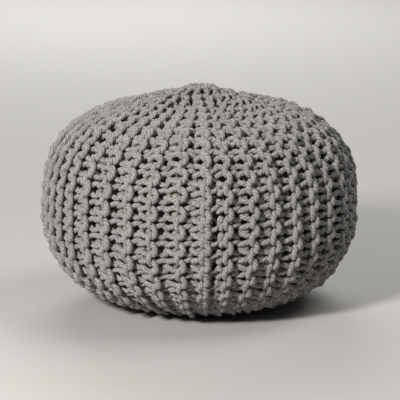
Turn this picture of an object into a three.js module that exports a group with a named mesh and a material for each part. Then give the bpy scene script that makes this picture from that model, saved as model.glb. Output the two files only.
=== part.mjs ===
// Round knitted pouf: a filled, ribbed cushion with a laced side seam and a gathered top.
import * as THREE from "three";

// Outer form in millimetres. The floor is z = 0, +Z is up and the seam faces -Y.
const CREST_RADIUS = 254;
const EQUATOR_HEIGHT = 142;
const CROWN = { reach: 202, shoulder: 3.2, flatness: 2.1 };
const BELLY = { reach: 148.6, shoulder: 1.95, flatness: 3.03 };
const COLLAR_RISE = 5;
const COLLAR_SPREAD = 90;

// Ribs: knitted ridges that run from the gathered top to the foot.
const RIB_COUNT = 41;
const RIB_DEPTH = 11;
const RIB_FULL_RADIUS = 200;
const FLANK_SINK = 0.32;
const STEPS_PER_RIB = 4;
const RING_COUNT = 31;
const FOOT_INSET = 12;

// Seam: the last rib meets the first one across a narrow channel.
const SEAM_ANGLE = 6.8 * THREE.MathUtils.DEG2RAD;
const SEAM_SIDE = [
  { share: -0.66, sink: 0.26 },
  { share: -0.56, sink: 0.8 },
  { share: 0.56, sink: 0.8 },
  { share: 0.66, sink: 0.26 },
];

// Lacing yarn that weaves from side to side in the seam channel.
const LACING_RADIUS = 3.5;
const LACING_SIDES = 8;
const LACING_TOP_RADIUS = 118;
const LACING_FOOT_HEIGHT = 22;
const LACING_PITCH = 25.5;
const LACING_STEPS_PER_PITCH = 8;
const LACING_MAX_SWAY = 4;
const LACING_SIDE_ROOM = 0.6;

// Gather: the drawn yarn that closes the top, resting in a round seat.
const GATHER_RADIUS = 15;
const GATHER_YARN_RADIUS = 6;
const GATHER_TOP = 356;
const GATHER_SEGMENTS = 33;
const GATHER_SIDES = 12;
const SEAT_STEPS = 5;
const COLLAR_RADIUS = 24;
const DIMPLE_DEPTH = 5;

const CLEARANCE = 0.3;
const CURVE_SAMPLES = 400;

const yarn = new THREE.MeshStandardMaterial({ color: 0xaaa8a5, roughness: 0.92, metalness: 0 });

// Outer meridian as radius and height, from the collar down to the edge of the foot.
function meridianPoint(turn, half, direction) {
  const reach = Math.sin(turn);
  const radius = CREST_RADIUS * (1 - reach ** half.shoulder) ** (1 / half.flatness);
  const inward = Math.max(0, 1 - radius / COLLAR_SPREAD);
  const rise = direction > 0 ? COLLAR_RISE * inward ** 2 : 0;
  return new THREE.Vector2(radius, EQUATOR_HEIGHT + direction * half.reach * reach + rise);
}

function sampledMeridian() {
  const points = [];
  for (let i = 1; i < CURVE_SAMPLES; i += 1) {
    const point = meridianPoint((1 - i / CURVE_SAMPLES) * (Math.PI / 2), CROWN, 1);
    if (point.x > COLLAR_RADIUS) {
      points.push(point);
    }
  }
  const footTurn = Math.asin(EQUATOR_HEIGHT / BELLY.reach);
  for (let i = 0; i <= CURVE_SAMPLES; i += 1) {
    points.push(meridianPoint((i / CURVE_SAMPLES) * footTurn, BELLY, -1));
  }
  return points;
}

function evenlySpaced(points, count) {
  const lengths = [0];
  for (let i = 1; i < points.length; i += 1) {
    lengths.push(lengths[i - 1] + points[i].distanceTo(points[i - 1]));
  }
  const total = lengths[lengths.length - 1];
  const spaced = [];
  let at = 0;
  for (let i = 0; i < count; i += 1) {
    const target = (total * i) / (count - 1);
    while (at < points.length - 2 && lengths[at + 1] < target) {
      at += 1;
    }
    const share = (target - lengths[at]) / (lengths[at + 1] - lengths[at]);
    spaced.push(points[at].clone().lerp(points[at + 1], share));
  }
  return spaced;
}

// Rings of the cover: crest point, outward direction and depth of the valleys between ribs.
function coverRings() {
  const crest = evenlySpaced(sampledMeridian(), RING_COUNT);
  const last = crest.length - 1;
  return crest.map((point, i) => {
    const along = crest[Math.min(i + 1, last)].clone().sub(crest[Math.max(i - 1, 0)]);
    const outward = new THREE.Vector2(-along.y, along.x).normalize();
    const fullness = Math.min(1, point.x / RIB_FULL_RADIUS);
    const depth = RIB_DEPTH * Math.sin((fullness * Math.PI) / 2);
    if (i === last) {
      const floorPoint = new THREE.Vector2(point.x, 0);
      return { crest: floorPoint, outward: new THREE.Vector2(1, 0), depth: FOOT_INSET };
    }
    return { crest: point, outward, depth };
  });
}

// Angles round the body, measured from the seam, with the share of the valley depth at each.
function roundLayout() {
  const ribAngle = (2 * Math.PI - SEAM_ANGLE) / (RIB_COUNT - 1);
  const quarterSink = [0, FLANK_SINK, 1, FLANK_SINK];
  const layout = [];
  for (let rib = 0; rib < RIB_COUNT - 1; rib += 1) {
    for (let step = 0; step < STEPS_PER_RIB; step += 1) {
      const angle = SEAM_ANGLE / 2 + (rib + step / STEPS_PER_RIB) * ribAngle;
      layout.push({ angle, sink: quarterSink[step] });
    }
  }
  layout.push({ angle: -SEAM_ANGLE / 2, sink: 0 });
  for (const { share, sink } of SEAM_SIDE) {
    layout.push({ angle: (share * SEAM_ANGLE) / 2, sink });
  }
  return layout;
}

function pointOnRing(ring, { angle, sink }) {
  const radius = ring.crest.x - ring.outward.x * ring.depth * sink;
  const height = ring.crest.y - ring.outward.y * ring.depth * sink;
  return new THREE.Vector3(radius * Math.sin(angle), -radius * Math.cos(angle), height);
}

function geometryFrom(points, triangles) {
  const geometry = new THREE.BufferGeometry().setFromPoints(points);
  geometry.setIndex(triangles);
  geometry.computeVertexNormals();
  return geometry;
}

// Quads between an upper ring of points and a lower one with as many points.
function bandTriangles(upper, lower, count) {
  const triangles = [];
  for (let i = 0; i < count; i += 1) {
    const next = (i + 1) % count;
    triangles.push(upper + i, lower + i, upper + next);
    triangles.push(upper + next, lower + i, lower + next);
  }
  return triangles;
}

// Triangles from a coarse upper ring to a fine lower one.
function fanTriangles(upper, upperCount, lower, lowerCount) {
  const group = lowerCount / upperCount;
  const triangles = [];
  for (let i = 0; i < upperCount; i += 1) {
    const next = (i + 1) % upperCount;
    for (let step = 0; step < group; step += 1) {
      const from = lower + i * group + step;
      triangles.push(upper + i, from, lower + ((i * group + step + 1) % lowerCount));
    }
    triangles.push(upper + i, lower + ((i + 1) * group) % lowerCount, upper + next);
  }
  return triangles;
}

// The seat of the gather as radius and height, from its outer edge to its inner one.
function seatProfile() {
  const middle = new THREE.Vector2(GATHER_RADIUS, GATHER_TOP - GATHER_YARN_RADIUS);
  const step = (2 * Math.PI) / GATHER_SIDES;
  const profile = [];
  for (let i = 0; i < SEAT_STEPS; i += 1) {
    const angle = -Math.PI / 2 + ((SEAT_STEPS - 1) / 2 - i) * step;
    const spoke = new THREE.Vector2(Math.cos(angle), Math.sin(angle));
    profile.push(middle.clone().addScaledVector(spoke, GATHER_YARN_RADIUS + CLEARANCE));
  }
  return profile;
}

function coverGeometry(rings, layout) {
  const seat = seatProfile();
  const dimple = seat[SEAT_STEPS - 1].y - DIMPLE_DEPTH;
  const points = [new THREE.Vector3(0, 0, dimple)];
  const triangles = [];
  const start = layout[0].angle;
  for (const { x: radius, y: height } of [...seat].reverse()) {
    for (let i = 0; i < GATHER_SEGMENTS; i += 1) {
      const angle = start + (2 * Math.PI * i) / GATHER_SEGMENTS;
      points.push(new THREE.Vector3(radius * Math.sin(angle), -radius * Math.cos(angle), height));
    }
  }
  for (let i = 0; i < GATHER_SEGMENTS; i += 1) {
    triangles.push(0, 1 + i, 1 + ((i + 1) % GATHER_SEGMENTS));
  }
  for (let i = 0; i < SEAT_STEPS - 1; i += 1) {
    const upper = 1 + i * GATHER_SEGMENTS;
    triangles.push(...bandTriangles(upper, upper + GATHER_SEGMENTS, GATHER_SEGMENTS));
  }
  const firstRing = points.length;
  for (const ring of rings) {
    points.push(...layout.map((place) => pointOnRing(ring, place)));
  }
  triangles.push(...fanTriangles(firstRing - GATHER_SEGMENTS, GATHER_SEGMENTS, firstRing, layout.length));
  for (let i = 0; i < rings.length - 1; i += 1) {
    const upper = firstRing + i * layout.length;
    triangles.push(...bandTriangles(upper, upper + layout.length, layout.length));
  }
  const foot = firstRing + (rings.length - 1) * layout.length;
  const footCentre = points.length;
  points.push(new THREE.Vector3(0, 0, 0));
  for (let i = 0; i < layout.length; i += 1) {
    triangles.push(footCentre, foot + ((i + 1) % layout.length), foot + i);
  }
  return geometryFrom(points, triangles);
}

// A place on the flat floor of the seam channel: how far down it, and how far across in millimetres.
function channelFloor(rings, layout) {
  const [left, right] = [layout.length - 3, layout.length - 2];
  return (down, across) => {
    const at = Math.min(Math.floor(down), rings.length - 2);
    const edgePoint = (side) => {
      const upper = pointOnRing(rings[at], layout[side]);
      return upper.lerp(pointOnRing(rings[at + 1], layout[side]), down - at);
    };
    const [a, b] = [edgePoint(left), edgePoint(right)];
    const sideways = b.clone().sub(a).normalize();
    const fall = pointOnRing(rings[at + 1], layout[left]).sub(pointOnRing(rings[at], layout[left]));
    const outward = fall.cross(sideways).normalize();
    const halfWidth = a.distanceTo(b) / 2;
    const position = a.add(b).multiplyScalar(1 / 2).addScaledVector(sideways, across);
    return { position, outward, halfWidth };
  };
}

function lacingPath(rings, layout) {
  const floor = channelFloor(rings, layout);
  const ringStep = rings[1].crest.distanceTo(rings[2].crest);
  const first = rings.findIndex((ring) => ring.crest.x > LACING_TOP_RADIUS);
  const last = rings.findIndex((ring, i) => i > first && ring.crest.y < LACING_FOOT_HEIGHT);
  const steps = Math.round(((last - first) * ringStep * LACING_STEPS_PER_PITCH) / LACING_PITCH);
  const path = [];
  for (let i = 0; i <= steps; i += 1) {
    const down = first + ((last - first) * i) / steps;
    const room = floor(down, 0).halfWidth - LACING_RADIUS - LACING_SIDE_ROOM;
    const sway = THREE.MathUtils.clamp(room, 0, LACING_MAX_SWAY);
    const { position, outward } = floor(down, sway * Math.sin((2 * Math.PI * i) / LACING_STEPS_PER_PITCH));
    path.push({ centre: position.addScaledVector(outward, LACING_RADIUS + CLEARANCE), outward });
  }
  return path;
}

// A round strand along a path, closed at both ends.
function strandGeometry(path, radius, sides) {
  const last = path.length - 1;
  const points = [];
  const triangles = [];
  path.forEach(({ centre, outward }, i) => {
    const along = path[Math.min(i + 1, last)].centre.clone().sub(path[Math.max(i - 1, 0)].centre).normalize();
    const sideways = along.clone().cross(outward).normalize();
    const up = sideways.clone().cross(along);
    for (let side = 0; side < sides; side += 1) {
      const angle = (2 * Math.PI * side) / sides;
      const spoke = up.clone().multiplyScalar(Math.sin(angle)).addScaledVector(sideways, Math.cos(angle));
      points.push(centre.clone().addScaledVector(spoke, radius));
    }
    if (i < last) {
      triangles.push(...bandTriangles(i * sides, (i + 1) * sides, sides));
    }
  });
  const [topEnd, footEnd] = [points.length, points.length + 1];
  points.push(path[0].centre.clone(), path[last].centre.clone());
  for (let side = 0; side < sides; side += 1) {
    const next = (side + 1) % sides;
    triangles.push(topEnd, side, next);
    triangles.push(footEnd, last * sides + next, last * sides + side);
  }
  return geometryFrom(points, triangles);
}

function gatherGeometry(start) {
  const geometry = new THREE.TorusGeometry(GATHER_RADIUS, GATHER_YARN_RADIUS, GATHER_SIDES, GATHER_SEGMENTS);
  geometry.rotateZ(start - Math.PI / 2);
  geometry.translate(0, 0, GATHER_TOP - GATHER_YARN_RADIUS);
  return geometry;
}

function namedMesh(name, geometry) {
  const mesh = new THREE.Mesh(geometry, yarn);
  mesh.name = name;
  return mesh;
}

const rings = coverRings();
const layout = roundLayout();
const pouf = new THREE.Group();
pouf.name = "knitted_pouf";
pouf.add(namedMesh("knit_cover", coverGeometry(rings, layout)));
pouf.add(namedMesh("seam_lacing", strandGeometry(lacingPath(rings, layout), LACING_RADIUS, LACING_SIDES)));
pouf.add(namedMesh("top_gather", gatherGeometry(layout[0].angle)));

export default pouf;
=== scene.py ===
"""Round knitted pouf: garter stitch made yarn by yarn over a filled inner bag."""
import math

import bpy
import numpy as np
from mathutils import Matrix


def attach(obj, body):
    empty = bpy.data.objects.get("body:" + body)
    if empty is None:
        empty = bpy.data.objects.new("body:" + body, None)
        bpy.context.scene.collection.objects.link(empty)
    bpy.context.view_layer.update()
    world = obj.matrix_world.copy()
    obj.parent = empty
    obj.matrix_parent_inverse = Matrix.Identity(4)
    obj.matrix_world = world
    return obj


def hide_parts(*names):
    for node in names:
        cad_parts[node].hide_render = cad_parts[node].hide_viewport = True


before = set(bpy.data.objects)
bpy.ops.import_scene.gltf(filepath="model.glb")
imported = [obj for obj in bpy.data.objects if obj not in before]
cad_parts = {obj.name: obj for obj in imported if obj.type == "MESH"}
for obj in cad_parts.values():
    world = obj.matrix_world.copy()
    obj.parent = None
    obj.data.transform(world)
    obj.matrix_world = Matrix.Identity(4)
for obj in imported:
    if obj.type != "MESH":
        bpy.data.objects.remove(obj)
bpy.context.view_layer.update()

MM = 0.001

# Outer form in millimetres, as in the solids: the crests of the ridges touch this surface.
CREST_RADIUS = 254
EQUATOR_HEIGHT = 142
CROWN = {"reach": 202, "shoulder": 3.2, "flatness": 2.1}
BELLY = {"reach": 148.6, "shoulder": 1.95, "flatness": 3.03}
COLLAR_RISE = 5
COLLAR_SPREAD = 90
POLE_RADIUS = 9
FOOT_STEPS = 40
MERIDIAN_STEPS = 600
MERIDIAN_EASE = 60

# The crown lies a little lower than in the solids: depth, place and spread of its dip.
CROWN_DIP = 5.5
CROWN_DIP_RADIUS = 112
CROWN_DIP_SPREAD = 45

# Depth of the knit's middle surface under the crests, and the least radii used near its poles.
SKIN = 13.2
LEAST_RADIUS = 1.0
LEAST_TURN_RADIUS = 14.0

# Knit: ridges round the body, stitches along each ridge, and the ridge pitches that are settled.
RIDGES = 41
GORE_RIDGES = 3
STITCH = 25.8
PITCHES = (45.0, 37.5, 31.0, 25.0, 19.0, 14.0)

# Gaps between ridges as shares of a full one: at the seam, the last few before it, and how uneven they are.
SEAM_UNITS = 0.955
SEAM_SHIFT = 0.08
FRONT_SPACING = (0.90, 0.93, 0.98, 1.07, 1.09, 1.08, 1.12, 1.00)
SPACING_UNEVEN = 0.05
SPACING_LIMIT = 1.5

# Radius at which each of four neighbouring ridges ends near the poles, and how the short ones close up there.
RIDGE_ENDS = (13, 66, 30, 66)
ENDS_UNEVEN = 6
POLE_END = 20
RIDGE_FADE = 40
RIDGE_SHOWN = 0.1
RIDGE_DIP = 3.0
RIDGE_DIP_POWER = 1.5
END_TUCK = 12
END_TUCK_STITCHES = 0.4

# The long ridges rise round the gather.
LONG_RIDGES = 11
GATHER_LIFT = 4.5
GATHER_RADIUS = 22
GATHER_SPREAD = 16

# Yarn: its radius, less where it is pressed and where the ridges crowd, and its steps and sides.
YARN_RADIUS = 4.4
YARN_SQUEEZE = 0.2
THIN_PITCH = 26
THIN_POWER = 0.6
THINNEST = 0.72
TIP_RADIUS = 0.2
LOOP_STEPS = 32
MESH_STEPS = 22
YARN_SIDES = 8
TUBE_START = (0.3, 0.2, 1.0)

# Settling: how near two yarns come, and how strongly they bend smooth, hold their place and push apart.
CONTACT = 4.8
CONTACT_SKIP = 1.35
BEND_EASE = 0.06
HOLD = 0.2
PUSH = 0.5
SETTLE_ROUNDS = 120

# Half a stitch of each row, from the tip of its loop to where the next loop starts, in millimetres
# along the ridge, across it and out. The loose row's loops arch over the ridge from behind, and the
# tight row's lie behind the valley and tie over the ridge between them.
LOOSE_STITCH = ((0, 6.9, 9.9), (4.0, 5.8, 9.3), (6.7, 1.9, 7.0), (9.0, -4.2, 3.6), (8.3, -10.0, 4.0),
                (6.4, -16.0, 2.8), (4.8, -21.5, -2.4), (7.4, -26.0, -7.6), (12.9, -28.5, -9.4))
TIGHT_STITCH = ((0, 19.5, -4.6), (6.5, 18.0, -2.6), (9.4, 13.5, 1.0), (7.4, 7.5, 0.0), (4.2, 2.8, -0.4),
                (4.8, -1.8, 4.8), (8.4, -4.8, 8.2), (12.9, -5.8, 8.8))
CURVE_STEPS = 24

# In a narrow pitch the heads keep their width, and the legs shorten, spread and lie level.
LOOSE_HEAD = (1.8, 6.4)
TIGHT_HEAD = (-5.8, 2.8)
ROW_OVERLAP = 10.5
TIP_SINK = 20.0
TIE_SINK = 19.0
LEG_EASE = 1.8
LEG_SPREAD = 10.0
LEG_LEVEL = 6.2

# Heads of the loose row: their lean, and their reach over the ridge as a share of a full one, from the seam
# to the right and from the far left to the seam.
HEAD_SKEW = 1.2
HEAD_SKEW_LEVEL = 6
RIGHT_HEADS = (0.35, 0.55, 0.6, 0.6, 0.6, 0.6, 0.6, 0.65, 0.7, 0.8, 0.9)
LEFT_HEADS = (1.1, 1.2, 1.25, 1.25, 1.2, 1.1, 1.0, 0.9, 0.85, 0.8, 0.75, 0.75, 0.75)

# Edges of the panel at the seam: the place across, and the shares by which yarn past it folds back and rises.
CAST_ON_EDGE = -13.5
CAST_ON_UNEVEN = 3.5
CAST_ON_FOLD = 0.8
CAST_ON_RISE = 0.65
BIND_OFF_EDGE = 6.0
BIND_OFF_FOLD = 0.85

# Seeded unevenness of the stitches along, across, out and in size, and of whole ridges where they crowd.
SEED = 7
SLIDE_UNEVEN = 2.0
SWAY_UNEVEN = 1.6
RISE_UNEVEN = 1.1
SIZE_UNEVEN = 0.08
CROWD_SLIDE = 3.0
CROWD_RADIUS = 150
CROWD_FADE = 80

# The inner bag: its depth under the crests, and how far it swells into the loops of the loose row.
BAG_DEPTH = 42.0
BAG_SWELL = 30.0
BAG_SWELL_PLACE = -7.0
BAG_SWELL_SLIDE = 1.5
BAG_SWELL_REACH = 12.0
BAG_OPEN_PITCH = 27
BAG_OPEN_FADE = 9
BAG_SEAM_SINK = 20.0
BAG_POLE_RISE = 12.0
BAG_POLE_RADIUS = 60
BAG_FOOT = 1.0
BAG_STEPS = 8

# Sewn strands, in stitches and millimetres: each swings across and bobs in and out as it runs.
BIND_OFF = {"from_top": 2, "from_foot": 3, "across": 1.0, "swing": 5.0, "out": 3.0, "bob": 4.5,
            "radius": 0.8 * YARN_RADIUS}
GATHER = {"turns": 2, "points": 180, "place": 15.0, "swing": 1.5, "out": SKIN - 3.0, "bob": 3.5,
          "radius": 0.9 * YARN_RADIUS, "patch_steps": 40, "meridian_points": 60}
LACING = {"from_top": 3.0, "from_foot": 4.0, "steps": 14, "uneven": 0.35, "across": -1.5, "swing": 9.5,
          "swing_uneven": 1.5, "out": -2.0, "bob": 6.0, "radius": 3.4}

# Packed map: margins of a patch in its cell, along and round the yarn, and rows of cells to a column.
PATCH_EDGE_ALONG = 0.05
PATCH_EDGE_ROUND = 0.08
PATCH_ROWS = 4

# Stage and lights in metres.
FLOOR_START = 0.5
FLOOR_REACH = 6.0
FLOOR_CURVE = 1.0
FLOOR_CURVE_STEPS = 12
WALL_TOP = 4.0
STAGE_SIDES = 96
LIGHT_AIM = 0.17

# Camera at the photo's angle: long lens, a little above, seam just right of the middle.
CAMERA_AZIMUTH = -5.5
CAMERA_ELEVATION = 12.0
CAMERA_DISTANCE = 3.18
CAMERA_AIM = 0.163
CAMERA_SHIFT = 0.001
SENSOR_WIDTH = 36
FOCAL_PIXELS = 1976
FRAME_PIXELS = 400


def curve_point(turn, half, direction):
    """Radius and height of the outer form at a turn from the equator."""
    reach = math.sin(turn)
    radius = CREST_RADIUS * (1 - reach ** half["shoulder"]) ** (1 / half["flatness"])
    inward = max(0.0, 1 - radius / COLLAR_SPREAD)
    rise = COLLAR_RISE * inward ** 2 if direction > 0 else 0.0
    return radius, EQUATOR_HEIGHT + direction * half["reach"] * reach + rise


def outer_meridian(samples=400):
    """The outer form from the top pole to the middle of the foot."""
    points = []
    for i in range(1, samples):
        radius, height = curve_point((1 - i / samples) * math.pi / 2, CROWN, 1)
        if radius > POLE_RADIUS:
            points.append((radius, height))
    foot_turn = math.asin(EQUATOR_HEIGHT / BELLY["reach"])
    for i in range(samples + 1):
        points.append(curve_point(i / samples * foot_turn, BELLY, -1))
    last = points[-1][0]
    for i in range(1, FOOT_STEPS + 1):
        points.append((last + (POLE_RADIUS - last) * i / FOOT_STEPS, 0.0))
    return np.array(points)


def along(points):
    """Length along a line of points, from its start to each point."""
    return np.concatenate([[0], np.cumsum(np.linalg.norm(np.diff(points, axis=0), axis=1))])


def even(points, count):
    """The same line with evenly spaced points."""
    length = along(points)
    at = np.linspace(0, length[-1], count)
    return np.stack([np.interp(at, length, points[:, i]) for i in range(points.shape[1])], 1)


def smooth_line(points, passes):
    """A line with its corners eased, its ends kept."""
    for _ in range(passes):
        eased = (points[:-2] + 2 * points[1:-1] + points[2:]) / 4
        points = np.concatenate([points[:1], eased, points[-1:]])
    return points


outer = smooth_line(even(outer_meridian(), MERIDIAN_STEPS), MERIDIAN_EASE)
dip = CROWN_DIP * np.exp(-((outer[:, 0] - CROWN_DIP_RADIUS) / CROWN_DIP_SPREAD) ** 2)
outer[:, 1] -= np.where(outer[:, 1] > EQUATOR_HEIGHT, dip, 0)
tangent = np.gradient(outer, axis=0)
tangent /= np.linalg.norm(tangent, axis=1)[:, None]
normal = np.stack([-tangent[:, 1], tangent[:, 0]], 1)
middle = outer - SKIN * normal
middle[:, 0] = np.maximum(middle[:, 0], POLE_RADIUS * 0.5)
down = along(middle)


def on_middle(length, column):
    """Radius or height of the knit's middle surface at a length from the top."""
    return np.interp(length, down, column)


def legs_share(pitch):
    """Length of the legs at a ridge pitch, as a share of full legs, so that the rows stay hooked together."""
    heads = LOOSE_HEAD[0] - TIGHT_HEAD[1]
    reach = TIGHT_STITCH[0][1] - LOOSE_STITCH[-1][1]
    return (pitch + ROW_OVERLAP + heads) / (reach + heads)


def smooth_curve(knots):
    """A smooth curve through points, without the first and the last, which only give it direction."""
    t = np.linspace(0, 1, CURVE_STEPS, endpoint=False)[:, None]
    line = []
    for a, b, c, d in zip(knots, knots[1:], knots[2:], knots[3:]):
        square = t ** 2 * (a - 2.5 * b + 2 * c - d / 2)
        cube = t ** 3 * (1.5 * (b - c) + (d - a) / 2)
        line.append(b + t * (c - a) / 2 + square + cube)
    return np.concatenate(line + [knots[-2:-1]])


def stitch_line(half, head, pitch):
    """Evenly spaced points of one whole stitch from one tie to the next, with legs that fit the pitch."""
    half = np.array(half, float)
    on_head = np.clip(half[:, 1], *head)
    leg = half[:, 1] - on_head
    reach = np.abs(leg) / np.abs(leg).max()
    share = legs_share(pitch)
    narrow = max(1 - share, 0)
    half[:, 2] -= narrow * (TIP_SINK * reach ** 3 + TIE_SINK * (1 - reach) * (half[:, 0] * 2 / STITCH) ** 2)
    ease = np.clip(LEG_EASE * narrow * np.sin(np.pi * reach), 0, 1)
    half[:, 0] += ease * np.maximum(LEG_SPREAD - half[:, 0], 0)
    half[:, 2] += ease * np.maximum(LEG_LEVEL - half[:, 2], 0)
    half[:, 1] = on_head + share * leg
    whole = np.concatenate([half[:0:-1] * (-1, 1, 1), half])
    whole[:, 0] += STITCH / 2
    step = np.array([STITCH, 0, 0])
    knots = np.concatenate([whole[-2:-1] - step, whole, whole[1:2] + step])
    return even(smooth_curve(knots), LOOP_STEPS + 1)[:-1]


def shifted(loops, hop):
    """The points a few steps on along each row, which repeats with every stitch."""
    moved = np.roll(loops, -hop, 1)
    if hop > 0:
        moved[:, LOOP_STEPS - hop:, 0] += STITCH
    else:
        moved[:, :-hop, 0] -= STITCH
    return moved


def settle(loops, pitch):
    """Lets the yarns slide and bend a little, until each keeps its length and they only press each other."""
    home = loops
    part = np.linalg.norm(shifted(loops, 1) - loops, axis=2).mean(1).reshape(2, 1, 1)
    repeats = np.array([(i * STITCH, j * pitch, 0) for i in (-1, 0, 1) for j in (-1, 0, 1)])
    row = np.repeat([0, 1], LOOP_STEPS)
    place = np.tile(np.arange(LOOP_STEPS), 2)
    other_row = np.tile(row, 9) + 2 * np.repeat([-1, 0, 1] * 3, 2 * LOOP_STEPS)
    other_place = np.tile(place, 9) + LOOP_STEPS * np.repeat([-1, 0, 1], 6 * LOOP_STEPS)
    hop = np.ceil(CONTACT_SKIP * CONTACT / part.min())
    same = (row[:, None] == other_row) & (np.abs(place[:, None] - other_place) <= hop)
    first = (np.arange(LOOP_STEPS) % 2 == 0)[None, :, None]
    for _ in range(SETTLE_ROUNDS):
        near = shifted(loops, 1) + shifted(loops, -1)
        far = shifted(loops, 2) + shifted(loops, -2)
        loops = loops + BEND_EASE * ((4 * near - far) / 6 - loops) + HOLD * (home - loops)
        flat = loops.reshape(-1, 3)
        gap = flat[:, None] - (flat + repeats[:, None]).reshape(1, -1, 3)
        apart = np.sqrt((gap ** 2).sum(2)) + 1e-9
        push = np.where(same | (apart > CONTACT), 0, CONTACT / apart - 1)
        touching = np.sqrt(np.maximum((push > 0).sum(1), 1))
        moves = PUSH * (push[:, :, None] * gap).sum(1) / touching[:, None]
        loops = loops + moves.reshape(loops.shape)
        for half in (first, ~first, first, ~first):
            edge = shifted(loops, 1) - loops
            size = np.linalg.norm(edge, axis=2, keepdims=True)
            slip = np.where(half, 0.5 * (1 - part / size) * edge, 0)
            loops = loops + slip - np.roll(slip, 1, 1)
    return loops


def settled_loops():
    """Settled stitches for each ridge pitch, as offsets from even steps along the ridge."""
    settled = []
    for pitch in PITCHES:
        loose = stitch_line(LOOSE_STITCH, LOOSE_HEAD, pitch)
        tight = stitch_line(TIGHT_STITCH, TIGHT_HEAD, pitch)
        settled.append(settle(np.stack([loose, tight]), pitch))
    settled = np.array(settled)
    settled[..., 0] -= STITCH * np.arange(LOOP_STEPS) / LOOP_STEPS
    return settled


shapes = settled_loops()

rng = np.random.default_rng(SEED)
stitch_count = int(down[-1] / STITCH)
stitch_fit = down[-1] / stitch_count
columns = np.arange(stitch_count + 1)


def easy_noise(rows, passes):
    """Seeded unevenness at every stitch, which changes slowly along each row and is about one in size."""
    noise = rng.normal(size=(rows, len(columns)))
    for _ in range(passes):
        noise[:, 1:-1] = (noise[:, :-2] + 2 * noise[:, 1:-1] + noise[:, 2:]) / 4
    return noise / noise.std()


crowding = np.clip((CROWD_RADIUS - on_middle(columns * stitch_fit, middle[:, 0])) / CROWD_FADE, 0, 1)
slide_noise = SLIDE_UNEVEN * easy_noise(RIDGES, 2) + CROWD_SLIDE * rng.normal(size=(RIDGES, 1)) * crowding
sway_noise = SWAY_UNEVEN * easy_noise(RIDGES, 2)
rise_noise = RISE_UNEVEN * easy_noise(RIDGES, 1)
size_noise = SIZE_UNEVEN * easy_noise(RIDGES, 0)
spacing = 1 + SPACING_UNEVEN * np.clip(rng.normal(size=RIDGES - 1), -SPACING_LIMIT, SPACING_LIMIT)
spacing[-len(FRONT_SPACING):] = FRONT_SPACING
cast_on_noise = rng.normal(size=len(columns))
lacing_noise = easy_noise(2, 1)

ridge_ends = np.array([RIDGE_ENDS[k % len(RIDGE_ENDS)] for k in range(RIDGES)], float)
ridge_ends += np.where(ridge_ends > POLE_END, ENDS_UNEVEN * rng.normal(size=RIDGES), 0)

head_reach = np.ones(RIDGES)
head_reach[:len(RIGHT_HEADS)] = RIGHT_HEADS
head_reach[-len(LEFT_HEADS):] = LEFT_HEADS


def ridge_weights(radius):
    """Share of a full ridge's width that each ridge has at a radius; short ridges close up near the poles."""
    ease = np.clip((radius[None] - ridge_ends[:, None]) / RIDGE_FADE, 0, 1)
    return np.where(ridge_ends[:, None] < POLE_END, 1.0, ease * ease * (3 - 2 * ease))


# Angle of every ridge and the pitch on both sides of it, at every point of the meridian.
grid_radius = middle[:, 0]
grid_weights = ridge_weights(grid_radius)
grid_steps = spacing[:, None] * (grid_weights[:-1] + grid_weights[1:]) / 2
grid_unit = 2 * np.pi / (grid_steps.sum(0) + SEAM_UNITS)
seam_step = np.full_like(grid_unit, SEAM_UNITS)[None]
grid_place = np.concatenate([0 * seam_step, np.cumsum(grid_steps, 0)])
grid_angle = grid_unit * (SEAM_UNITS / 2 + SEAM_SHIFT + grid_place)
pitch_after = grid_unit * grid_radius * np.concatenate([grid_steps, seam_step])
pitch_before = np.roll(pitch_after, 1, 0)


def loop_shape(pitch, step, row):
    """Settled offsets along, across and out for points of a row, blended between ridge pitches."""
    order = np.array(PITCHES)
    known = np.clip(pitch, order[-1], order[0])
    place = np.interp(-known, -order, np.arange(len(order)))
    low = np.minimum(place.astype(int), len(order) - 2)
    share = (place - low)[:, None]
    at = step * LOOP_STEPS
    first = np.floor(at).astype(int)
    part = (at - first)[:, None]
    first %= LOOP_STEPS
    second = (first + 1) % LOOP_STEPS

    def one(level):
        return shapes[level, row, first] * (1 - part) + shapes[level, row, second] * part
    offsets = one(low) * (1 - share) + one(low + 1) * share
    offsets[:, 1] *= np.minimum(pitch / known, 1)
    return offsets


def place_points(run, angle, across, out):
    """Points in millimetres from a length along the meridian, an angle and offsets from the surface."""
    radius = np.maximum(on_middle(run, middle[:, 0]), LEAST_RADIUS)
    height = on_middle(run, middle[:, 1])
    lean = np.stack([on_middle(run, normal[:, 0]), on_middle(run, normal[:, 1])], 1)
    lean /= np.linalg.norm(lean, axis=1)[:, None]
    reach = radius + out * lean[:, 0]
    turn = angle + across / np.maximum(radius, LEAST_TURN_RADIUS)
    return np.stack([reach * np.sin(turn), -reach * np.cos(turn), height + out * lean[:, 1]], 1)


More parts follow.
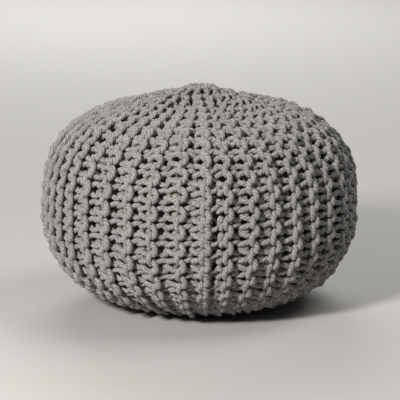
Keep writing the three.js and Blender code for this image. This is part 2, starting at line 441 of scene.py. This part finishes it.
def row_path(ridge, row):
    """Centre line and radius of one row of yarn, from top to foot; row 0 is the loose one."""
    shown = np.flatnonzero((grid_weights[ridge] > RIDGE_SHOWN) & (grid_radius > ridge_ends[ridge]))
    first, last = down[shown[[0, -1]]] / stitch_fit
    stitch = np.arange(math.ceil(first * MESH_STEPS), math.floor(last * MESH_STEPS) + 1) / MESH_STEPS
    run = stitch * stitch_fit
    pitch = np.interp(run, down, (pitch_before if row == 0 else pitch_after)[ridge])
    offsets = loop_shape(pitch, stitch % 1.0, row)
    size = 1 + np.interp(stitch, columns, size_noise[ridge])
    run = run + offsets[:, 0] + np.interp(stitch, columns, slide_noise[ridge])
    across = offsets[:, 1] * size + np.interp(stitch, columns, sway_noise[ridge])
    out = offsets[:, 2] * size + np.interp(stitch, columns, rise_noise[ridge])
    on_crest = np.clip(offsets[:, 2] / HEAD_SKEW_LEVEL, 0, 1)
    across = across - HEAD_SKEW * np.sin(2 * np.pi * stitch) * on_crest
    if ridge == 0 and row == 0:
        edge = CAST_ON_EDGE + CAST_ON_UNEVEN * cast_on_noise[np.round(stitch).astype(int)]
        past = np.maximum(edge - across, 0)
        across = across + CAST_ON_FOLD * past
        out = out + CAST_ON_RISE * past
    if row == 0:
        across = np.where(across > 0, head_reach[ridge] * across, across)
    if ridge == RIDGES - 1 and row == 1:
        past = np.maximum(across - BIND_OFF_EDGE, 0)
        across = across - BIND_OFF_FOLD * past
    tuck = np.minimum(stitch - stitch[0], stitch[-1] - stitch)
    out = out - END_TUCK * np.clip(1 - tuck / END_TUCK_STITCHES, 0, 1) ** 2
    near_top = np.where(stitch < stitch_count / 2, on_middle(run, middle[:, 0]), CREST_RADIUS)
    out = out + GATHER_LIFT * np.exp(-((near_top - GATHER_RADIUS) / GATHER_SPREAD) ** 2)
    out = out - RIDGE_DIP * (1 - np.interp(run, down, grid_weights[ridge])) ** RIDGE_DIP_POWER
    angle = np.interp(run, down, grid_angle[ridge])
    points = place_points(run, angle, across, out)
    bare = np.cos(2 * np.pi * (stitch - (0.5 if row == 0 else 0.0)))
    thin = np.clip((pitch / THIN_PITCH) ** THIN_POWER, THINNEST, 1)
    radius = (YARN_RADIUS + YARN_SQUEEZE * (bare - 1)) * thin
    points[:, 2] = np.maximum(points[:, 2], radius)
    return points, radius


def bind_off_path():
    """The strand that closes the last ridge's loops beside the seam."""
    last = stitch_count - BIND_OFF["from_foot"]
    stitch = np.arange(BIND_OFF["from_top"] * MESH_STEPS, last * MESH_STEPS + 1) / MESH_STEPS
    run = stitch * stitch_fit
    angle = np.interp(run, down, grid_angle[-1])
    across = BIND_OFF["across"] + BIND_OFF["swing"] * np.sin(2 * np.pi * stitch)
    out = BIND_OFF["out"] + BIND_OFF["bob"] * np.cos(2 * np.pi * stitch)
    return place_points(run, angle, across, out), np.full(len(run), BIND_OFF["radius"])


def gather_path():
    """The drawn yarn that gathers the top: turns that weave over and under the ends of the ridges."""
    turn = np.linspace(0, 2 * np.pi * GATHER["turns"], GATHER["points"])
    weave = np.cos(LONG_RIDGES / 2 * turn)
    near = slice(GATHER["meridian_points"])
    run = np.interp(GATHER["place"] + GATHER["swing"] * weave, middle[near, 0], down[near])
    out = GATHER["out"] + GATHER["bob"] * weave
    return place_points(run, turn, np.zeros_like(run), out), np.full(len(turn), GATHER["radius"])


def lacing_path():
    """The strand that laces the seam, from the top to the foot."""
    first = LACING["from_top"]
    last = stitch_count - LACING["from_foot"]
    stitch = np.linspace(first, last, int((last - first) * LACING["steps"]))
    run = stitch * stitch_fit
    phase = stitch + LACING["uneven"] * np.interp(stitch, columns, lacing_noise[0])
    swing = LACING["swing"] + LACING["swing_uneven"] * np.interp(stitch, columns, lacing_noise[1])
    across = LACING["across"] + swing * np.cos(2 * np.pi * phase)
    out = LACING["out"] + LACING["bob"] * np.sin(2 * np.pi * phase)
    return place_points(run, np.zeros_like(run), across, out), np.full(len(run), LACING["radius"])


def tube(points, radius):
    """Rings of points round a centre line, with a frame that turns as little as it can."""
    forward = np.gradient(points, axis=0)
    forward /= np.linalg.norm(forward, axis=1)[:, None]
    side = np.cross(forward[0], TUBE_START)
    sides_out = np.empty_like(points)
    for i, ahead in enumerate(forward):
        side = side - ahead * side.dot(ahead)
        side = side / math.sqrt(side.dot(side))
        sides_out[i] = side
    up = np.cross(forward, sides_out)
    turn = 2 * np.pi * np.arange(YARN_SIDES) / YARN_SIDES
    spokes = sides_out[:, None] * np.cos(turn)[None, :, None] + up[:, None] * np.sin(turn)[None, :, None]
    return points[:, None] + spokes * radius[:, None, None]


def tube_faces(count):
    """Corners of a tube's faces, side by side and ring by ring."""
    ring = np.arange(count - 1)[:, None] * YARN_SIDES
    spoke = np.arange(YARN_SIDES)[None]
    near = ring + spoke
    beside = ring + (spoke + 1) % YARN_SIDES
    return np.stack([near, beside, beside + YARN_SIDES, near + YARN_SIDES], 2).reshape(-1, 4)


def yarn_map(points, radius):
    """Places of the face corners along the yarn and round it, in millimetres."""
    length = along(points)
    girth = 2 * np.pi * radius.mean()
    spoke = np.arange(YARN_SIDES)
    shape = (len(points) - 1, YARN_SIDES)
    low = np.broadcast_to(length[:-1, None], shape)
    high = np.broadcast_to(length[1:, None], shape)
    left = np.broadcast_to(spoke / YARN_SIDES * girth, shape)
    right = np.broadcast_to((spoke + 1) / YARN_SIDES * girth, shape)
    return np.stack([low, left, low, right, high, right, high, left], 2).reshape(-1, 2)


def packed_map(counts, patch_steps):
    """Places of the face corners on a sheet of cells, one for each short patch of each tube."""
    rings = [np.repeat(np.arange(count - 1), YARN_SIDES) for count in counts]
    starts = np.cumsum([0] + [ring[-1] // patch_steps + 1 for ring in rings])
    cell = np.concatenate([start + ring // patch_steps for start, ring in zip(starts, rings)])
    step = np.concatenate(rings) % patch_steps
    spoke = np.arange(len(step)) % YARN_SIDES
    cells_across = max(1, round(math.sqrt(starts[-1] / PATCH_ROWS)))
    cells_down = math.ceil(starts[-1] / cells_across)
    column = cell % cells_across
    line = cell // cells_across

    def along_patch(at):
        return (column + PATCH_EDGE_ALONG + (1 - 2 * PATCH_EDGE_ALONG) * at / patch_steps) / cells_across

    def round_patch(at):
        return (line + PATCH_EDGE_ROUND + (1 - 2 * PATCH_EDGE_ROUND) * at / YARN_SIDES) / cells_down
    left, right = along_patch(step), along_patch(step + 1)
    low, high = round_patch(spoke), round_patch(spoke + 1)
    return np.stack([left, low, left, high, right, high, right, low], 1).reshape(-1, 2)


def yarn_piece(name, paths, patch_steps):
    """One mesh of yarn tubes with tapered ends, a map along the yarn and a packed map of patches."""
    verts, faces, lengths = [], [], []
    base = 0
    for points, radius in paths:
        taper = radius.copy()
        taper[[0, -1]] = TIP_RADIUS
        verts.append(tube(points, taper).reshape(-1, 3))
        faces.append(base + tube_faces(len(points)))
        lengths.append(yarn_map(points, radius))
        base += len(verts[-1])
    verts = np.concatenate(verts) * MM
    faces = np.concatenate(faces)
    maps = {"Yarn": np.concatenate(lengths) * MM,
            "OFBake": packed_map([len(points) for points, _ in paths], patch_steps)}
    mesh = bpy.data.meshes.new(name)
    mesh.vertices.add(len(verts))
    mesh.vertices.foreach_set("co", verts.ravel())
    mesh.loops.add(faces.size)
    mesh.loops.foreach_set("vertex_index", faces.ravel().astype(np.int32))
    mesh.polygons.add(len(faces))
    mesh.polygons.foreach_set("loop_start", np.arange(0, faces.size, 4, dtype=np.int32))
    mesh.polygons.foreach_set("use_smooth", np.ones(len(faces), bool))
    mesh.update(calc_edges=True)
    for map_name, values in maps.items():
        layer = mesh.uv_layers.new(name=map_name)
        layer.data.foreach_set("uv", np.asarray(values, np.float32).ravel())
    piece = bpy.data.objects.new(name, mesh)
    bpy.context.collection.objects.link(piece)
    return piece


def smooth_piece(name, verts, faces):
    """A smooth mesh object from points in metres and faces."""
    mesh = bpy.data.meshes.new(name)
    mesh.from_pydata(verts, [], faces)
    mesh.polygons.foreach_set("use_smooth", np.ones(len(faces), bool))
    piece = bpy.data.objects.new(name, mesh)
    bpy.context.collection.objects.link(piece)
    return piece


def bag_piece(name):
    """The filled inner bag: a closed crowned form under the knit that swells into its open loops."""
    stitch = np.arange(stitch_count * BAG_STEPS + 1) / BAG_STEPS
    run = stitch * stitch_fit
    at_ridge = np.stack([np.interp(run, down, grid_angle[k]) for k in range(RIDGES)])
    at_ridge = np.concatenate([at_ridge, at_ridge[:1] + 2 * np.pi])
    pitch = np.stack([np.interp(run, down, pitch_after[k]) for k in range(RIDGES)])
    ahead = ((stitch % 1 - 0.5) * STITCH - BAG_SWELL_SLIDE) / BAG_SWELL_REACH
    pole_rise = BAG_POLE_RISE * np.clip(1 - on_middle(run, middle[:, 0]) / BAG_POLE_RADIUS, 0, 1)
    rows = []
    for k in range(RIDGES):
        open_loop = np.clip((pitch[k] - BAG_OPEN_PITCH) / BAG_OPEN_FADE, 0, 1)
        for j in range(BAG_STEPS):
            share = j / BAG_STEPS
            angle = at_ridge[k] * (1 - share) + at_ridge[k + 1] * share
            aside = ((share - 1) * pitch[k] - BAG_SWELL_PLACE) / BAG_SWELL_REACH
            swell = np.exp(-aside ** 4 - ahead ** 4)
            out = SKIN - BAG_DEPTH + BAG_SWELL * swell * open_loop
            if k == RIDGES - 1:
                out = out - BAG_SEAM_SINK * math.sin(math.pi * share)
            rows.append(place_points(run, angle, np.zeros_like(run), out + pole_rise))
    grid = np.stack(rows, 1)
    grid[..., 2] = np.maximum(grid[..., 2], BAG_FOOT)
    count = grid.shape[1]
    verts = np.concatenate([grid.reshape(-1, 3), grid[0].mean(0)[None], grid[-1].mean(0)[None]]) * MM
    ring = np.arange(len(run) - 1)[:, None] * count
    spoke = np.arange(count)[None]
    after = (spoke + 1) % count
    quads = np.stack([ring + spoke, ring + count + spoke, ring + count + after, ring + after], 2)
    faces = quads.reshape(-1, 4).tolist()
    top = len(verts) - 2
    foot = len(verts) - 1
    low = (len(run) - 1) * count
    faces += [(top, j, (j + 1) % count) for j in range(count)]
    faces += [(foot, low + (j + 1) % count, low + j) for j in range(count)]
    return smooth_piece(name, verts.tolist(), faces)


def principled(name):
    """A new material with its nodes, links and main shader."""
    material = bpy.data.materials.new(name)
    material.use_nodes = True
    nodes = material.node_tree.nodes
    return material, nodes, material.node_tree.links, nodes["Principled BSDF"]


def math_node(nodes, links, operation, first, second):
    """Result of an operation on two values, each a number or another node's output."""
    node = nodes.new("ShaderNodeMath")
    node.operation = operation
    for socket, value in zip(node.inputs, (first, second)):
        if isinstance(value, (int, float)):
            socket.default_value = value
        else:
            links.new(value, socket)
    return node.outputs[0]


def noise_node(nodes, links, vector, scale, detail):
    """Output of a noise at a place, between nought and one."""
    node = nodes.new("ShaderNodeTexNoise")
    node.inputs["Scale"].default_value = scale
    node.inputs["Detail"].default_value = detail
    links.new(vector, node.inputs["Vector"])
    return node.outputs["Fac"]


def ramp_node(nodes, links, value, stops):
    """Colour that a value has on a ramp of places and colours."""
    node = nodes.new("ShaderNodeValToRGB")
    ramp = node.color_ramp
    while len(ramp.elements) < len(stops):
        ramp.elements.new(0.5)
    for element, (place, colour) in zip(ramp.elements, stops):
        element.position = place
        element.color = (*colour, 1)
    links.new(value, node.inputs["Fac"])
    return node.outputs["Color"]


def multiply_node(nodes, links, first, second):
    """Product of two colours."""
    node = nodes.new("ShaderNodeMix")
    node.data_type = "RGBA"
    node.blend_type = "MULTIPLY"
    node.inputs["Factor"].default_value = 1.0
    links.new(first, node.inputs["A"])
    links.new(second, node.inputs["B"])
    return node.outputs["Result"]


def bump_node(nodes, links, height, strength, distance):
    """Normal of a surface raised by a height."""
    node = nodes.new("ShaderNodeBump")
    node.inputs["Strength"].default_value = strength
    node.inputs["Distance"].default_value = distance
    links.new(height, node.inputs["Height"])
    return node.outputs["Normal"]


def yarn_material(plies=4, lay=0.0055):
    """Heathered grey cotton cord with twisted plies, each ply one lay in metres along the yarn, with painted
    shade darkening the colour in the grooves between the plies.
    """
    material, nodes, links, shader = principled("heathered_cotton_cord")
    uv = nodes.new("ShaderNodeUVMap")
    uv.uv_map = "Yarn"
    parts = nodes.new("ShaderNodeSeparateXYZ")
    links.new(uv.outputs["UV"], parts.inputs[0])
    girth = 2 * math.pi * YARN_RADIUS * MM
    round_yarn = math_node(nodes, links, "MULTIPLY", parts.outputs["Y"], plies / girth)
    along_yarn = math_node(nodes, links, "MULTIPLY", parts.outputs["X"], 1 / lay)
    twist = math_node(nodes, links, "ADD", round_yarn, along_yarn)
    wave = math_node(nodes, links, "SINE", math_node(nodes, links, "MULTIPLY", twist, math.pi), 0.0)
    ply = math_node(nodes, links, "ABSOLUTE", wave, 0.0)
    place = nodes.new("ShaderNodeTexCoord").outputs["Object"]
    fleck = noise_node(nodes, links, place, scale=480, detail=3)
    patch = noise_node(nodes, links, place, scale=28, detail=2)
    flecks = ramp_node(nodes, links, fleck, ((0.3, (0.122, 0.118, 0.116)), (0.5, (0.258, 0.2515, 0.248)),
                                             (0.7, (0.386, 0.378, 0.373))))
    patches = ramp_node(nodes, links, patch, ((0.3, (0.86, 0.86, 0.86)), (0.7, (1.0, 1.0, 1.0))))
    # Painted shade: the colour is darkened to 0.58 in the grooves between the plies, where shade falls; the
    # bump below shapes the same grooves.
    groove_shade = ramp_node(nodes, links, ply, ((0.0, (0.58, 0.58, 0.58)), (0.55, (1.0, 1.0, 1.0))))
    colour = multiply_node(nodes, links, multiply_node(nodes, links, flecks, patches), groove_shade)
    links.new(colour, shader.inputs["Base Color"])
    fibre = math_node(nodes, links, "MULTIPLY", noise_node(nodes, links, place, scale=900, detail=2), 0.6)
    height = math_node(nodes, links, "ADD", fibre, ply)
    links.new(bump_node(nodes, links, height, strength=0.6, distance=0.0014), shader.inputs["Normal"])
    shader.inputs["Roughness"].default_value = 0.95
    shader.inputs["Specular IOR Level"].default_value = 0.2
    shader.inputs["Sheen Weight"].default_value = 0.15
    shader.inputs["Sheen Roughness"].default_value = 0.6
    return material


def liner_material():
    """Plain undyed cotton of the inner bag."""
    material, nodes, links, shader = principled("undyed_bag_cotton")
    place = nodes.new("ShaderNodeTexCoord").outputs["Object"]
    tone = noise_node(nodes, links, place, scale=60, detail=3)
    colour = ramp_node(nodes, links, tone, ((0.3, (0.215, 0.194, 0.163)), (0.7, (0.275, 0.251, 0.214))))
    links.new(colour, shader.inputs["Base Color"])
    weave = noise_node(nodes, links, place, scale=1200, detail=2)
    links.new(bump_node(nodes, links, weave, strength=0.4, distance=0.0005), shader.inputs["Normal"])
    shader.inputs["Roughness"].default_value = 0.95
    shader.inputs["Specular IOR Level"].default_value = 0.15
    return material


# Pieces of the pouf.
cord = yarn_material()

liner = bag_piece("filled_bag")
liner.data.materials.append(liner_material())
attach(liner, "root")
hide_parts("knit_cover")

for start in range(0, RIDGES, GORE_RIDGES):
    paths = [bind_off_path()] if start + GORE_RIDGES >= RIDGES else []
    for ridge in range(start, min(start + GORE_RIDGES, RIDGES)):
        paths.append(row_path(ridge, 0))
        paths.append(row_path(ridge, 1))
    gore = yarn_piece(f"knit_gore_{start // GORE_RIDGES + 1:02d}", paths, MESH_STEPS)
    gore.data.materials.append(cord)
    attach(gore, "root")
    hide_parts("knit_cover")

gather = yarn_piece("gather_yarn", [gather_path()], GATHER["patch_steps"])
gather.data.materials.append(cord)
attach(gather, "root")
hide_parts("top_gather")

lacing = yarn_piece("lacing_yarn", [lacing_path()], LACING["steps"])
lacing.data.materials.append(cord)
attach(lacing, "root")
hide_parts("seam_lacing")


def stage_floor():
    """A plain pale floor that curves up all round, far from the pouf, into a plain pale wall."""
    profile = [(FLOOR_START, 0.0), (FLOOR_REACH, 0.0)]
    for i in range(1, FLOOR_CURVE_STEPS + 1):
        turn = i / FLOOR_CURVE_STEPS * math.pi / 2
        profile.append((FLOOR_REACH + FLOOR_CURVE * math.sin(turn), FLOOR_CURVE * (1 - math.cos(turn))))
    profile.append((FLOOR_REACH + FLOOR_CURVE, WALL_TOP))
    verts = [(0.0, 0.0, 0.0)]
    for reach, height in profile:
        for j in range(STAGE_SIDES):
            turn = 2 * math.pi * j / STAGE_SIDES
            verts.append((reach * math.cos(turn), reach * math.sin(turn), height))
    faces = [(0, 1 + j, 1 + (j + 1) % STAGE_SIDES) for j in range(STAGE_SIDES)]
    for i in range(len(profile) - 1):
        ring = 1 + i * STAGE_SIDES
        above = ring + STAGE_SIDES
        for j in range(STAGE_SIDES):
            after = (j + 1) % STAGE_SIDES
            faces.append((ring + j, above + j, above + after, ring + after))
    floor = smooth_piece("stage_floor", verts, faces)
    material, _, _, shader = principled("pale_floor")
    shader.inputs["Base Color"].default_value = (0.42, 0.409, 0.395, 1)
    shader.inputs["Roughness"].default_value = 0.8
    floor.data.materials.append(material)


def square_light(name, size, power):
    """A new square soft light."""
    light = bpy.data.lights.new(name, "AREA")
    light.shape = "SQUARE"
    light.size = size
    light.energy = power
    lamp = bpy.data.objects.new(name, light)
    bpy.context.collection.objects.link(lamp)
    return lamp


def aimed_place(azimuth, elevation, distance, height):
    """Place and turn of something aimed at the pouf's axis; azimuth 0 is in front, negative to the left."""
    turn, lift = math.radians(azimuth), math.radians(elevation)
    place = (distance * math.cos(lift) * math.sin(turn), -distance * math.cos(lift) * math.cos(turn),
             height + distance * math.sin(lift))
    return place, (math.pi / 2 - lift, 0, turn)


def aimed_light(name, azimuth, elevation, distance, size, power, colour):
    """A soft light aimed at the middle of the pouf."""
    lamp = square_light(name, size, power)
    lamp.data.color = colour
    lamp.location, lamp.rotation_euler = aimed_place(azimuth, elevation, distance, LIGHT_AIM)


def floor_light():
    """A wide light over the floor behind the pouf."""
    lamp = square_light("floor_light", size=2.5, power=150)
    lamp.location = (0, 4.2, 2.6)
    lamp.rotation_euler = (math.radians(-20), 0, 0)


def dim_world():
    """A faint even light from all round."""
    world = bpy.data.worlds.new("studio")
    world.use_nodes = True
    background = world.node_tree.nodes["Background"]
    background.inputs["Color"].default_value = (0.9, 0.92, 0.95, 1)
    background.inputs["Strength"].default_value = 0.02
    bpy.context.scene.world = world


def photo_camera():
    """The camera at the photo's viewing angle."""
    camera = bpy.data.cameras.new("photo_camera")
    camera.sensor_width = SENSOR_WIDTH
    camera.lens = SENSOR_WIDTH * FOCAL_PIXELS / FRAME_PIXELS
    camera.shift_x = CAMERA_SHIFT
    viewer = bpy.data.objects.new("photo_camera", camera)
    viewer.location, viewer.rotation_euler = aimed_place(CAMERA_AZIMUTH, CAMERA_ELEVATION, CAMERA_DISTANCE,
                                                         CAMERA_AIM)
    bpy.context.collection.objects.link(viewer)
    bpy.context.scene.camera = viewer


# Stage, lights and camera.
stage_floor()
aimed_light("key_light", azimuth=-38, elevation=28, distance=2.6, size=0.4, power=96,
            colour=(1.0, 0.975, 0.94))
aimed_light("fill_light", azimuth=95, elevation=58, distance=3.0, size=1.8, power=45,
            colour=(1.0, 0.985, 0.97))
floor_light()
dim_world()
photo_camera()
bpy.context.scene.view_settings.view_transform = "Standard"
